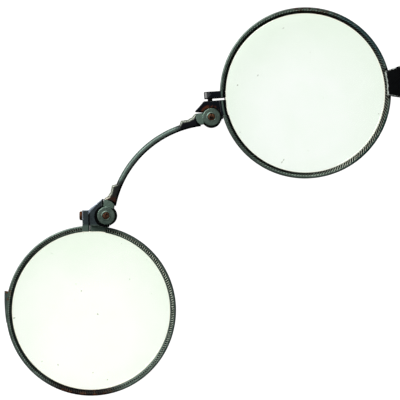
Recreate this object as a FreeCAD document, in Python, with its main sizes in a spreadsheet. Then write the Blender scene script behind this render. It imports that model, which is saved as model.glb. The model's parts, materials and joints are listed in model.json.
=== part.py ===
import FreeCAD, Part
import math
import os
import Sketcher

# A spring-folding lorgnette: two round lenses in split rims, an arched bridge between two sprung
# hinge drums, a catch that holds the pair folded, and a handle with a release slide on the right
# rim. It lies on its back, open, with the lens axes along Z. Millimetres and degrees.

Vector = FreeCAD.Vector
Rotation = FreeCAD.Rotation
Placement = FreeCAD.Placement

doc = FreeCAD.newDocument("lorgnette")
sheet = doc.addObject("Spreadsheet::Sheet", "dims")

DRIVING = (
    ("rim_outer", 18.75, "outside radius of a rim"),
    ("rim_inner", 17.45, "inside radius of a rim"),
    ("rim_half", 0.95, "half the height of a rim"),
    ("bevel", 0.25, "bevel on the edges of a rim"),
    ("vee", 0.4, "depth and half height of the groove that holds a lens"),
    ("lens_curve", 418.0, "radius of both faces of a lens, about +2.5 dioptres"),
    ("left_plane", 1.075, "height of the left rim's middle"),
    ("right_plane", 3.2, "height of the right rim's middle, clear above the left one"),
    ("hinge_half", 15.81, "half the distance between the two hinges"),
    ("hinge_reach", 21.25, "from a hinge to the middle of its lens"),
    ("left_turn", 37.37, "direction from the left lens to its hinge"),
    ("right_turn", 151.33, "direction from the right lens to its hinge"),
    ("split_turn", 10.4, "angle at the lens between the hinge and the split"),
    ("left_split", 0.16, "width of the left rim's split, pulled shut by its closing screw"),
    ("right_split", 0.5, "width of the right rim's split, which stands further open"),
    ("block_width", 1.5, "closing block, along the rim"),
    ("block_reach", 22.2, "outer end of the closing block, from the lens middle"),
    ("screw_reach", 20.96, "closing screw, from the lens middle"),
    ("closing_shank", 0.53, "radius of the closing screw's shank"),
    ("closing_grip", 1.3, "length of that shank inside the bracket"),
    ("closing_head", 0.65, "thickness of the closing screw's head"),
    ("foot_length", 3.4, "foot of the hinge bracket, along the rim"),
    ("plate_radius", 2.2, "base plate of a hinge"),
    ("plate_top", 0.55, "thickness of the base plate"),
    ("drum_radius", 1.96, "outside radius of a spring drum"),
    ("drum_bore", 1.55, "inside radius of a spring drum"),
    ("drum_base", 0.62, "underside of a drum, just clear of the base plate"),
    ("drum_top", 3.84, "top of a drum, just clear of the cap"),
    ("cup_radius", 2.05, "hollow of the bracket round the drum"),
    ("cup_start", 42.5, "start of that hollow, from the direction of the collar"),
    ("cup_end", 194.6, "end of that hollow, round the hinge"),
    ("cup_foot", -12.9, "end of the bracket on the rim, round the lens"),
    ("wing_reach", 3.87, "tip of the bracket's wing, from the hinge"),
    ("wing_turn", 27.2, "direction of that tip, from the direction of the collar"),
    ("left_lean", 3.6, "how much nearer the left bracket's wing stands to its collar"),
    ("wing_root", 1.48, "start of the wing's bent back, past the hinge"),
    ("wing_bend", 40.0, "radius of the wing's bent back"),
    ("post_radius", 0.5, "hinge post that the drum turns on"),
    ("cap_base", 3.9, "underside of the hinge cap"),
    ("cap_thick", 0.5, "thickness of the hinge cap"),
    ("pin_head", 0.77, "radius of the hinge screw's head"),
    ("pin_shank", 0.3, "radius of the hinge screw's shank"),
    ("arm_low", 1.1, "underside of the bridge arm"),
    ("arm_high", 3.4, "top of the bridge arm"),
    ("arm_rise", 4.325, "inner edge of the arm above the line of the hinges"),
    ("arm_curve", 22.215, "radius of the arm's inner edge"),
    ("arm_width", 1.25, "width of the arm"),
    ("throat_place", 13.0, "end of the arm's inner edge, from the middle of the bridge"),
    ("cusp_place", 10.45, "cusp on the outer edge, from the middle of the bridge"),
    ("cusp_rise", 3.88, "height of that cusp above the line of the hinges"),
    ("shelf_place", 9.5, "end of the arm's outer edge, from the middle of the bridge"),
    ("horn_bend", 3.0, "radius of the hollow between a cusp and its collar"),
    ("horn_lap", 0.12, "how far a horn laps over its collar"),
    ("collar_turn", 35.4, "direction of a collar from its hinge"),
    ("collar_near", 1.8, "inner end of a collar, inside the drum's wall"),
    ("collar_far", 3.4, "outer end of a collar, where the arm is brazed on"),
    ("collar_half", 1.23, "half the width of a collar"),
    ("tooth_height", 0.83, "catch tooth above the rim"),
    ("tooth_curve", 35.0, "radius of the tooth's sloping back"),
    ("tooth_face", 76.3, "square face of the catch tooth, from the split"),
    ("tooth_tail", 97.2, "thin end of the catch tooth, from the split"),
    ("handle_turn", -36.66, "direction of the handle from the right lens"),
    ("root_half", 2.65, "half width of the handle at the rim"),
    ("shoulder_place", 25.0, "widest point near the root, from the lens middle"),
    ("shoulder_half", 4.5, "half width there"),
    ("waist_place", 38.0, "narrowest point of the handle"),
    ("waist_half", 3.4, "half width there"),
    ("waist_bend", 160.0, "radius of the sides from the waist to the belly"),
    ("belly_place", 60.0, "widest point of the grip"),
    ("belly_half", 4.1, "half width there"),
    ("belly_bend", 150.0, "radius of the sides from the belly to the tip"),
    ("tip_place", 92.0, "middle of the rounded end"),
    ("tip_half", 3.1, "radius of the rounded end"),
    ("lip_radius", 17.88, "edge of the front shell that laps over the rim"),
    ("clear_radius", 18.8, "everything else on the handle stays outside the rim"),
    ("grip_start", 42.0, "past here the handle is its full thickness"),
    ("neck_base", 2.25, "underside of the thin neck, above the left rim's path"),
    ("parting", 3.6, "where the front and back shells meet"),
    ("handle_top", 5.0, "top of the handle"),
    ("channel_floor", 2.95, "floor of the channel for the tang and the release slide"),
    ("channel_roof", 4.2, "roof of that channel"),
    ("channel_half", 2.25, "half width of that channel"),
    ("channel_end", 45.0, "far end of that channel"),
    ("cavity_start", 50.0, "near end of the hollow in the grip"),
    ("cavity_end", 86.0, "far end of that hollow"),
    ("cavity_half", 2.4, "half width of that hollow"),
    ("cavity_floor", 0.8, "floor of that hollow"),
    ("tang_end", 40.0, "far end of the tang"),
    ("tang_edge", -0.3, "side of the tang that guides the slide"),
    ("slide_base", 3.0, "underside of the release slide"),
    ("slide_top", 3.55, "top of the release slide"),
    ("slide_end", 38.0, "far end of the release slide"),
    ("nose_tip", 19.5, "nose of the slide, just clear of the folded left rim"),
    ("nose_length", 1.5, "length of the nose along the handle"),
    ("nose_low", 0.3, "other side of the nose, by the tang"),
    ("nose_base", 0.35, "underside of the nose, beside the folded left rim"),
    ("nose_high", 1.95, "side of the nose that meets the catch tooth"),
    ("travel", 1.0, "travel of the release slide"),
    ("button_place", 29.5, "middle of the release button"),
    ("button_half", 2.4, "half the length of the button"),
    ("button_side", 1.9, "half the width of the button"),
    ("button_thick", 0.85, "top of the button above the shell"),
    ("stem_half", 1.0, "half the length of the button's stem"),
    ("stem_low", 0.2, "side of the stem by the tang"),
    ("stem_high", 1.6, "other side of the stem"),
    ("rivet_radius", 0.3, "rivet that holds the stem to the slide"),
    ("rivet_length", 1.2, "length of that rivet in the stem"),
    ("seat_thick", 1.2, "block that the release spring pushes on"),
    ("spring_across", 1.0, "axis of the release spring, across the handle"),
    ("spring_bore", 0.58, "radius of the bore that the release spring sinks into"),
    ("pivot_place", 97.6, "hole of the bail eye"),
    ("pivot_height", 2.5, "height of that hole"),
    ("eye_radius", 1.5, "outside radius of the bail eye"),
    ("eye_thick", 1.2, "thickness of the bail eye"),
    ("eye_hole", 0.75, "radius of the bail eye's hole"),
    ("neck_radius", 0.8, "radius of the eye's neck"),
    ("neck_lap", 0.4, "how far the neck runs into the eye"),
    ("neck_length", 5.4, "from the eye's hole to the end of its neck"),
    ("ring_radius", 3.4, "bail ring, to the middle of its wire"),
    ("ring_wire", 0.5, "radius of the ring's wire"),
    ("ring_droop", 16.5, "slope of the ring as it lies on the table"),
    ("origin_x", 0.0, "middle of the footprint, set once the pieces are placed"),
    ("origin_y", 0.0, "middle of the footprint, set once the pieces are placed"),
)

for row, (alias, number, meaning) in enumerate(DRIVING, 1):
    sheet.set("A%d" % row, meaning)
    sheet.set("B%d" % row, repr(number))
    sheet.setAlias("B%d" % row, alias)
doc.recompute()


class Size:
    """A number together with the sheet expression that it comes from."""

    def __init__(self, value, text):
        self.value = value
        self.text = text

    def __add__(self, other):
        other = sized(other)
        return Size(self.value + other.value, "(%s + %s)" % (self.text, other.text))

    def __sub__(self, other):
        other = sized(other)
        return Size(self.value - other.value, "(%s - %s)" % (self.text, other.text))

    def __mul__(self, other):
        other = sized(other)
        return Size(self.value * other.value, "(%s * %s)" % (self.text, other.text))

    def __truediv__(self, other):
        other = sized(other)
        return Size(self.value / other.value, "(%s / %s)" % (self.text, other.text))

    def __neg__(self):
        return self * -1

    __radd__ = __add__
    __rmul__ = __mul__


def sized(number):
    if isinstance(number, Size):
        return number
    return Size(float(number), "(%.6f)" % number)


def cosine(angle):
    return Size(math.cos(math.radians(angle.value)), "cos(%s * 1 deg)" % angle.text)


def sine(angle):
    return Size(math.sin(math.radians(angle.value)), "sin(%s * 1 deg)" % angle.text)


def root(number):
    return Size(math.sqrt(number.value), "sqrt(%s)" % number.text)


def polar(radius, angle, x=0, y=0):
    """The point at a radius and an angle from (x, y)."""
    return radius * cosine(angle) + x, radius * sine(angle) + y


class Dims:
    """The sheet's driving dimensions, by name."""


dims = Dims()
for alias, number, meaning in DRIVING:
    setattr(dims, alias, Size(number, "dims." + alias))

LEFT = 1
RIGHT = -1
SIDES = ((LEFT, "left", dims.left_plane), (RIGHT, "right", dims.right_plane))
PIECES = []


# ---- the steps that the bodies are made with ----

def start_body(label):
    body = doc.addObject("PartDesign::Body", label)
    body.Label = label
    return body


def sketch_on(body, role, height=0):
    """A sketch on one of the body's own origin planes, moved along the plane's normal."""
    sketch = body.newObject("Sketcher::SketchObject", body.Name + "_sketch")
    plane = [feature for feature in body.Origin.OriginFeatures if feature.Role == role][0]
    sketch.AttachmentSupport = [(plane, "")]
    sketch.MapMode = "FlatFace"
    height = sized(height)
    sketch.AttachmentOffset = Placement(Vector(0, 0, height.value), Rotation())
    sketch.setExpression("AttachmentOffset.Base.z", height.text)
    return sketch


def pin(sketch, element, vertex, x, y):
    """Hold a vertex at a place that comes from the sheet."""
    for kind, size in (("DistanceX", x), ("DistanceY", y)):
        rule = Sketcher.Constraint(kind, -1, 1, element, vertex, size.value)
        sketch.setExpression("Constraints[%d]" % sketch.addConstraint(rule), size.text)


def set_radius(sketch, element, radius):
    rule = Sketcher.Constraint("Radius", element, radius.value)
    sketch.setExpression("Constraints[%d]" % sketch.addConstraint(rule), radius.text)


def bent_edge(start, end, radius):
    """The shorter arc from start to end; it turns left when radius is positive."""
    chord = end - start
    rise = math.sqrt(radius ** 2 - (chord.Length / 2) ** 2)
    left = Vector(-chord.y, chord.x, 0).normalize()
    centre = (start + end) * 0.5 + left * math.copysign(rise, radius)
    first, last = (start, end) if radius > 0 else (end, start)
    angles = [math.atan2(p.y - centre.y, p.x - centre.x) for p in (first, last)]
    circle = Part.Circle(centre, Vector(0, 0, 1), abs(radius))
    return Part.ArcOfCircle(circle, angles[0], angles[1])


def draw(sketch, corners):
    """A closed outline. A corner is (x, y), or (x, y, radius) where its next edge is an arc."""
    corners = [tuple(sized(part) for part in corner) for corner in corners]
    points = [Vector(corner[0].value, corner[1].value, 0) for corner in corners]
    ends = []
    for number, corner in enumerate(corners):
        here = points[number]
        after = points[(number + 1) % len(points)]
        if len(corner) == 2:
            sketch.addGeometry(Part.LineSegment(here, after), False)
            ends.append((1, 2))
        else:
            sketch.addGeometry(bent_edge(here, after, corner[2].value), False)
            ends.append((1, 2) if corner[2].value > 0 else (2, 1))
    for number, corner in enumerate(corners):
        before = number - 1 if number else len(corners) - 1
        rule = Sketcher.Constraint("Coincident", before, ends[before][1], number, ends[number][0])
        sketch.addConstraint(rule)
        pin(sketch, number, ends[number][0], corner[0], corner[1])
    for number, corner in enumerate(corners):
        if len(corner) == 3:
            bend = corner[2] if corner[2].value > 0 else -corner[2]
            set_radius(sketch, number, bend)


def draw_circle(sketch, radius, x=0, y=0):
    x, y, radius = sized(x), sized(y), sized(radius)
    ring = Part.Circle(Vector(x.value, y.value, 0), Vector(0, 0, 1), radius.value)
    element = sketch.addGeometry(ring, False)
    pin(sketch, element, 3, x, y)
    set_radius(sketch, element, radius)


def finish_feature(feature, length=None):
    if length is not None:
        length = sized(length)
        feature.Length = length.value
        feature.setExpression("Length", length.text)
    doc.recompute()
    return feature


def pad(body, corners, low, high):
    """Solid between two heights on an outline; a lone radius and centre means a disc."""
    sketch = sketch_on(body, "XY_Plane", low)
    if isinstance(corners, list):
        draw(sketch, corners)
    else:
        draw_circle(sketch, *corners)
    feature = body.newObject("PartDesign::Pad", body.Name + "_pad")
    feature.Profile = sketch
    return finish_feature(feature, sized(high) - low)


def pocket(body, corners, low, high):
    """Cut downwards from one height to another inside an outline."""
    before = body.Shape.Volume
    sketch = sketch_on(body, "XY_Plane", high)
    if isinstance(corners, list):
        draw(sketch, corners)
    else:
        draw_circle(sketch, *corners)
    feature = body.newObject("PartDesign::Pocket", body.Name + "_pocket")
    feature.Profile = sketch
    finish_feature(feature, sized(high) - low)
    if body.Shape.Volume > before - 1e-4:
        raise RuntimeError(body.Label + ": a pocket cut nothing")


def drill(body, role, offset, radius, x, y, length=None, along_normal=False):
    """Bore a hole square to a side plane: right through, or to a length against its normal."""
    before = body.Shape.Volume
    sketch = sketch_on(body, role, offset)
    draw_circle(sketch, radius, x, y)
    feature = body.newObject("PartDesign::Pocket", body.Name + "_bore")
    feature.Profile = sketch
    if length is None:
        feature.Type = "ThroughAll"
        feature.Midplane = True
    feature.Reversed = along_normal
    finish_feature(feature, length)
    if body.Shape.Volume > before - 1e-4:
        raise RuntimeError(body.Label + ": a bore cut nothing")


def turn(body, corners, cut=False):
    """Turn an outline of (radius, height) about the body's Z axis, as a solid or as a groove."""
    sketch = sketch_on(body, "XZ_Plane")
    draw(sketch, corners)
    kind = "PartDesign::Groove" if cut else "PartDesign::Revolution"
    feature = body.newObject(kind, body.Name + "_turned")
    feature.Profile = sketch
    feature.ReferenceAxis = (sketch, ["V_Axis"])
    feature.Angle = 360
    return finish_feature(feature)


def rectangle(x_low, x_high, y_low, y_high):
    return [(x_low, y_low), (x_high, y_low), (x_high, y_high), (x_low, y_high)]


def place(piece, x, y, z, turned, tilt=None):
    """Put a piece at a point of the bridge's frame, turned about Z after any tilt of its own."""
    angle = sized(turned)
    rotation = Rotation(Vector(0, 0, 1), angle.value)
    if tilt is not None:
        rotation = rotation.multiply(tilt)
    piece.Placement = Placement(Vector(0, 0, 0), rotation)
    if tilt is None:
        piece.setExpression("Placement.Rotation.Angle", "%s * 1 deg" % angle.text)
    piece.setExpression("Placement.Base.x", (sized(x) - dims.origin_x).text)
    piece.setExpression("Placement.Base.y", (sized(y) - dims.origin_y).text)
    piece.setExpression("Placement.Base.z", sized(z).text)
    PIECES.append(piece)


# ---- places shared by the pieces, in the bridge's frame: X from the left hinge to the right ----

def hinge_turn(side):
    return dims.left_turn if side == LEFT else dims.right_turn


def half_split(side):
    return (dims.left_split if side == LEFT else dims.right_split) / 2


def lens_middle(side):
    reach = dims.hinge_reach
    turned = hinge_turn(side)
    return -side * dims.hinge_half - reach * cosine(turned), -reach * sine(turned)


def place_by_lens(piece, side, height=0):
    """The lens frame: Z along the lens axis, X through the split of the rim."""
    x, y = lens_middle(side)
    place(piece, x, y, height, hinge_turn(side) + side * dims.split_turn)


def place_by_handle(piece, along=0, height=0, tilt=None):
    """The handle's frame: X from the right lens along the handle."""
    x, y = lens_middle(RIGHT)
    out_x, out_y = polar(sized(along), dims.handle_turn, x, y)
    place(piece, out_x, out_y, height, dims.handle_turn, tilt)


def hinge_point(side):
    """The hinge in the lens frame."""
    return dims.hinge_reach * cosine(dims.split_turn), -side * dims.hinge_reach * sine(dims.split_turn)


# ---- rims and lenses ----

def make_rim(side, label, plane):
    """A ring with bevelled edges and a groove for the lens, open where the closing blocks sit."""
    rim = start_body(label)
    inner, outer, half, bevel = dims.rim_inner, dims.rim_outer, dims.rim_half, dims.bevel
    turn(rim, [
        (inner, dims.vee), (inner, half - bevel), (inner + bevel, half),
        (outer - bevel, half), (outer, half - bevel), (outer, bevel - half),
        (outer - bevel, -half), (inner + bevel, -half), (inner, bevel - half),
        (inner, -dims.vee), (inner + dims.vee, 0)])
    block_end = half_split(side) + dims.block_width
    foot_end = half_split(side) + dims.foot_length
    first, last = (-foot_end, block_end) if side == LEFT else (-block_end, foot_end)
    pocket(rim, rectangle(inner - 1, outer + 1, first, last), -half, half)
    place_by_lens(rim, side, plane)


def make_lens(side, label, plane):
    """A thin biconvex lens with a bevelled edge that sits in the groove of the rim."""
    lens = start_body(label)
    edge, vee, curve = dims.rim_inner, dims.vee, dims.lens_curve
    middle = vee + curve - root(curve * curve - edge * edge)
    turn(lens, [(0, -middle, curve), (edge, -vee), (edge + vee, 0), (edge, vee, curve), (0, middle)])
    place_by_lens(lens, side, plane)


def lens_groove(body, plane):
    """The rim's groove carried on across a block, so that the lens edge fits into it."""
    over = 0.1
    inner, vee = dims.rim_inner, dims.vee
    turn(body, [(inner - over, plane - vee - over), (inner + vee, plane),
                (inner - over, plane + vee + over)], cut=True)


PROUD_HEAD = 1.0
SUNK_HEAD = 0.85
SINK = 0.7


def make_closing_block(side, name, plane):
    """The free block at the split, with a hole for the closing screw, sunk on the right one."""
    block = start_body(name + "_closing_block")
    low = half_split(side)
    high = low + dims.block_width
    half = dims.rim_half
    play = 0.03
    first, last = (low, high) if side == LEFT else (-high, -low)
    pad(block, rectangle(dims.rim_inner, dims.block_reach, first, last), plane - half, plane + half)
    lens_groove(block, plane)
    drill(block, "XZ_Plane", 0, dims.closing_shank + play, dims.screw_reach, plane)
    if side == RIGHT:
        drill(block, "XZ_Plane", high, SUNK_HEAD + 0.05, dims.screw_reach, plane, SINK + 0.05)
    place_by_lens(block, side)


def make_closing_screw(side, name, plane):
    """A slotted screw across the split: proud on the left rim, sunk in the block on the right."""
    screw = start_body(name + "_closing_screw")
    head = sized(PROUD_HEAD if side == LEFT else SUNK_HEAD)
    sink = sized(0 if side == LEFT else SINK)
    thick, edge, slot_half, slot_depth = dims.closing_head, 0.15, 0.14, 0.3
    length = dims.block_width + 2 * half_split(side) + dims.closing_grip
    turn(screw, [(0, sink - length), (dims.closing_shank, sink - length), (dims.closing_shank, 0),
                 (head, 0), (head, thick - edge), (head - edge, thick), (0, thick)])
    pocket(screw, rectangle(-head - edge, head + edge, -slot_half, slot_half), thick - slot_depth,
           thick)
    x, y = lens_middle(side)
    turned = hinge_turn(side) + side * dims.split_turn
    out_x, out_y = polar(dims.screw_reach, turned, x, y)
    rise = side * (half_split(side) + dims.block_width - sink)
    tilt = Rotation(Vector(1, 0, 0), -90 * side)
    place(screw, out_x - rise * sine(turned), out_y + rise * cosine(turned), plane, turned, tilt)


# ---- hinges: the bracket, cap and screw belong to the lens, the drum to the bridge ----

def make_bracket(side, name, plane):
    """Foot in the rim, block at the split, cup round the drum, wing that stops the open bridge."""
    bracket = start_body(name + "_hinge_bracket")
    hinge_x, hinge_y = hinge_point(side)
    clear, cup, gap = dims.clear_radius, dims.cup_radius, half_split(side)
    half = dims.rim_half
    lean = dims.left_turn if side == LEFT else -(dims.right_turn - 180)
    stop_turn = dims.collar_turn - lean - dims.split_turn
    if side == LEFT:
        stop_turn = stop_turn - dims.left_lean
    wing_x, wing_y = polar(dims.wing_reach, stop_turn + dims.wing_turn, hinge_x)
    start_x, start_y = polar(cup, stop_turn + dims.cup_start, hinge_x)
    end_x, end_y = polar(cup, dims.cup_end, hinge_x)
    foot_x, foot_y = polar(clear, dims.cup_foot)
    outline = [
        (root(clear * clear - gap * gap), -side * gap),
        (hinge_x + dims.wing_root, -side * gap, side * dims.wing_bend),
        (wing_x, hinge_y + side * wing_y),
        (start_x, hinge_y + side * start_y, side * cup),
        (end_x, hinge_y + side * end_y),
        (foot_x, side * foot_y, side * clear)]
    pad(bracket, outline, 0, dims.drum_top)
    pad(bracket, (dims.plate_radius, hinge_x, hinge_y), 0, dims.plate_top)
    pad(bracket, (dims.post_radius, hinge_x, hinge_y), dims.plate_top - 0.1, dims.cap_base)
    foot_end = gap + dims.foot_length
    first, last = (-foot_end, -gap) if side == LEFT else (gap, foot_end)
    pad(bracket, rectangle(dims.rim_inner, clear + 0.1, first, last), plane - half, plane + half)
    lens_groove(bracket, plane)
    pocket(bracket, (dims.pin_shank, hinge_x, hinge_y), 1.2, dims.cap_base)
    drill(bracket, "XZ_Plane", side * gap, dims.closing_shank, dims.screw_reach, plane,
          dims.closing_grip, along_normal=side == LEFT)
    place_by_lens(bracket, side)


def make_hinge_cap(side, name):
    """A bevelled disc that closes the drum, with a raised ring round the screw's recess."""
    cap = start_body(name + "_hinge_cap")
    rim, thick, recess = dims.drum_radius, dims.cap_thick, dims.pin_head + 0.03
    turn(cap, [(dims.pin_shank, 0), (rim, 0), (rim, thick - 0.22), (rim - 0.15, thick - 0.08),
               (recess + 0.3, thick - 0.08), (recess + 0.22, thick), (recess, thick),
               (recess, 0.15), (dims.pin_shank, 0.15)])
    place(cap, -side * dims.hinge_half, 0, dims.cap_base, 0)


def make_hinge_screw(side, name):
    """The slotted screw that holds the cap down on the post."""
    screw = start_body(name + "_hinge_screw")
    head, thick = dims.pin_head, 0.4
    turn(screw, [(0, -2.6), (dims.pin_shank, -2.6), (dims.pin_shank, 0), (head, 0),
                 (head, thick - 0.1), (head - 0.12, thick), (0, thick)])
    pocket(screw, rectangle(-1, 1, -0.13, 0.13), thick - 0.22, thick)
    place(screw, -side * dims.hinge_half, 0, dims.cap_base + 0.15, 62 + side * 18)


def make_drum(side, name):
    """A drum open at the top for its spring, with the collar that the arm is brazed to."""
    drum = start_body(name + "_spring_drum")
    rim, bore, base, top = dims.drum_radius, dims.drum_bore, dims.drum_base, dims.drum_top
    eye = dims.post_radius + 0.06
    floor = base + 0.5
    turn(drum, [(eye, base), (rim, base), (rim, top), (bore, top), (bore, floor), (eye, floor)])
    turned, half = dims.collar_turn, dims.collar_half
    corners = []
    for reach, across in ((dims.collar_near, -half), (dims.collar_far, -half),
                          (dims.collar_far, half), (dims.collar_near, half)):
        x = reach * cosine(turned) - across * sine(turned)
        y = reach * sine(turned) + across * cosine(turned)
        corners.append((x, side * y))
    pad(drum, corners, dims.arm_low, dims.arm_high)
    place(drum, -side * dims.hinge_half, 0, 0, 0 if side == LEFT else 180)


def make_hinge_spring(side, name):
    """A flat spiral spring in the drum, from half turns whose radius grows step by step."""
    spring = doc.addObject("Part::Feature", name + "_hinge_spring")
    spring.Label = name + "_hinge_spring"
    thick, first, step, half_turns = 0.12, 0.68, 0.13, 6
    edges = []
    for edge_shift in (-thick / 2, thick / 2):
        for number in range(half_turns):
            radius = first + step * number
            centre = step / 2 * (1 if number % 2 else -1)
            sign = -1 if number % 2 else 1
            reach = radius + edge_shift
            edges.append(Part.Arc(Vector(centre + reach * sign, 0, 0), Vector(centre, reach * sign, 0),
                                  Vector(centre - reach * sign, 0, 0)).toShape())
    for near, far in ((edges[0].Vertexes[0], edges[half_turns].Vertexes[0]),
                      (edges[half_turns - 1].Vertexes[-1], edges[-1].Vertexes[-1])):
        edges.append(Part.makeLine(near.Point, far.Point))
    wire = Part.Wire(Part.sortEdges(edges)[0])
    height = dims.drum_top.value - dims.drum_base.value - 0.5 - 0.2
    spring.Shape = Part.Face(wire).extrude(Vector(0, 0, height))
    place(spring, -side * dims.hinge_half, 0, dims.drum_base + 0.5, 0 if side == LEFT else 180)


def make_arm():
    """The arched bridge: a bar of even width with a cusp and a flared horn at each end."""
    arm = start_body("bridge_arm")
    curve, rise, width, near = dims.arm_curve, dims.arm_rise, dims.arm_width, dims.hinge_half
    middle = rise - curve
    turned, half, far = dims.collar_turn, dims.collar_half, dims.collar_far

    def on_arc(radius, x):
        return middle + root(radius * radius - x * x)

    outer = curve + width
    throat, cusp_x, cusp_y = dims.throat_place, dims.cusp_place, dims.cusp_rise
    shelf, bend, lap = dims.shelf_place, dims.horn_bend, half + dims.horn_lap
    low_x = near - far * cosine(turned) - half * sine(turned)
    low_y = far * sine(turned) - half * cosine(turned)
    high_x = near - far * cosine(turned) + lap * sine(turned)
    high_y = far * sine(turned) + lap * cosine(turned)
    along = (near - throat - half * sine(turned)) / cosine(turned)
    corner_y = along * sine(turned) - half * cosine(turned)
    right = [(throat, on_arc(curve, throat)), (throat, corner_y), (low_x, low_y),
             (high_x, high_y, -bend), (cusp_x, cusp_y), (shelf, on_arc(outer, shelf), outer)]
    left = [(-shelf, on_arc(outer, shelf)), (-cusp_x, cusp_y, -bend), (-high_x, high_y),
            (-low_x, low_y), (-throat, corner_y), (-throat, on_arc(curve, throat), -curve)]
    pad(arm, right + left, dims.arm_low, dims.arm_high)
    place(arm, 0, 0, 0, 0)


def make_tooth():
    """The wedge on the left rim that the release slide's nose catches behind."""
    tooth = start_body("catch_tooth")
    face, tail, base = dims.tooth_face, dims.tooth_tail, dims.rim_outer
    thin, half = 0.12, 0.6
    inner_face = polar(base, face)
    tail_x, tail_y = polar(base, tail)
    corners = [
        (tail_x, tail_y, -base),
        inner_face,
        polar(base + dims.tooth_height, face) + (dims.tooth_curve,),
        polar(base + thin, tail)]
    pad(tooth, corners, dims.left_plane - half, dims.left_plane + half)
    place_by_lens(tooth, LEFT)


# ---- the handle ----

def handle_outline(root_radius):
    """Both sides of the handle from the hollow root to the rounded end."""
    start = root(root_radius * root_radius - dims.root_half * dims.root_half)
    tip = dims.tip_place + dims.tip_half
    return [
        (start, dims.root_half, -root_radius), (start, -dims.root_half),
        (dims.shoulder_place, -dims.shoulder_half),
        (dims.waist_place, -dims.waist_half, -dims.waist_bend),
        (dims.belly_place, -dims.belly_half, -dims.belly_bend),
        (dims.tip_place, -dims.tip_half, dims.tip_half), (tip, 0, dims.tip_half),
        (dims.tip_place, dims.tip_half, -dims.belly_bend),
        (dims.belly_place, dims.belly_half, -dims.waist_bend),
        (dims.waist_place, dims.waist_half), (dims.shoulder_place, dims.shoulder_half)]


SCREWS = ((36.0, -1.25), (47.5, 0.0), (89.5, 0.0))
SCREW_HEAD = 0.8
SCREW_SHANK = 0.4
SCREW_SINK = 0.5
SCREW_TOP = 4.6


def screw_base(along):
    """A screw's head is flush with the thin neck or with the back of the grip."""
    return dims.neck_base if along < dims.grip_start.value else sized(0)


def make_front_shell():
    """The polished front of the handle, with the slot for the release button."""
    shell = start_body("handle_front_shell")
    pad(shell, handle_outline(dims.lip_radius), dims.parting, dims.handle_top)
    pocket(shell, (dims.clear_radius,), dims.parting, dims.right_plane + dims.rim_half + 0.02)
    pocket(shell, rectangle(dims.clear_radius - 0.5, dims.channel_end, -dims.channel_half,
                            dims.channel_half), dims.parting - 0.1, dims.channel_roof)
    pocket(shell, rectangle(dims.cavity_start, dims.cavity_end, -dims.cavity_half,
                            dims.cavity_half), dims.parting - 0.1, dims.channel_roof)
    play = 0.1
    slot_start = dims.button_place - dims.stem_half - play
    slot_end = dims.button_place + dims.stem_half + dims.travel + play
    pocket(shell, rectangle(slot_start, slot_end, dims.stem_low - play, dims.stem_high + play),
           dims.channel_roof - 0.1, dims.handle_top)
    for along, across in SCREWS:
        pocket(shell, (SCREW_SHANK, along, across), dims.parting - 0.1, SCREW_TOP)
    place_by_handle(shell)


def make_back_shell():
    """The back of the handle: thin at the neck, where the left rim folds past, then full depth."""
    shell = start_body("handle_back_shell")
    pad(shell, handle_outline(dims.clear_radius), 0, dims.parting)
    wide = 2 * dims.shoulder_half
    pocket(shell, rectangle(dims.root_half, dims.grip_start, -wide, wide), 0, dims.neck_base)
    pocket(shell, rectangle(dims.clear_radius - 0.5, dims.channel_end, -dims.channel_half,
                            dims.channel_half), dims.channel_floor, dims.parting)
    play = 0.1
    nose_end = dims.nose_tip + dims.nose_length + dims.travel + play
    pocket(shell, rectangle(dims.clear_radius - 0.5, nose_end, dims.nose_low - play,
                            dims.nose_high + play), dims.neck_base, dims.channel_floor)
    pocket(shell, rectangle(dims.cavity_start, dims.cavity_end, -dims.cavity_half,
                            dims.cavity_half), dims.cavity_floor, dims.parting)
    for along, across in SCREWS:
        base = screw_base(along)
        pocket(shell, (SCREW_SHANK, along, across), base, dims.parting)
        pocket(shell, (SCREW_HEAD, along, across), base, base + SCREW_SINK)
    tip = dims.tip_place + dims.tip_half
    drill(shell, "YZ_Plane", tip, dims.neck_radius, 0, dims.pivot_height, 5)
    place_by_handle(shell)


def make_tang():
    """The steel bar brazed to the rim that the two shells are screwed to."""
    tang = start_body("handle_tang")
    clear, low = dims.rim_outer, -dims.channel_half
    half_edge = dims.tang_edge
    corners = [(root(clear * clear - low * low), low), (dims.tang_end, low),
               (dims.tang_end, half_edge),
               (root(clear * clear - half_edge * half_edge), half_edge, -clear)]
    pad(tang, corners, dims.channel_floor, dims.right_plane + dims.rim_half)
    pocket(tang, (SCREW_SHANK, SCREWS[0][0], SCREWS[0][1]), dims.channel_floor,
           dims.right_plane + dims.rim_half)
    place_by_handle(tang)


def make_handle_screws():
    """Three flush slotted screws from the back, as one group."""
    made = []
    slot_wide, slot_deep, short = 0.28, 0.2, 0.05
    for along, across in SCREWS:
        base = screw_base(along).value
        at = Vector(along, across, base)
        head = Part.makeCylinder(SCREW_HEAD, SCREW_SINK, at)
        shank = Part.makeCylinder(SCREW_SHANK, SCREW_TOP - short - base, at)
        corner = Vector(along - SCREW_HEAD, across - slot_wide / 2, base)
        slot = Part.makeBox(2 * SCREW_HEAD, slot_wide, slot_deep, corner)
        made.append(head.fuse(shank).cut(slot).removeSplitter())
    screws = doc.addObject("Part::Feature", "handle_screws")
    screws.Label = "handle_screws"
    screws.Shape = Part.makeCompound(made)
    place_by_handle(screws)


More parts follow.
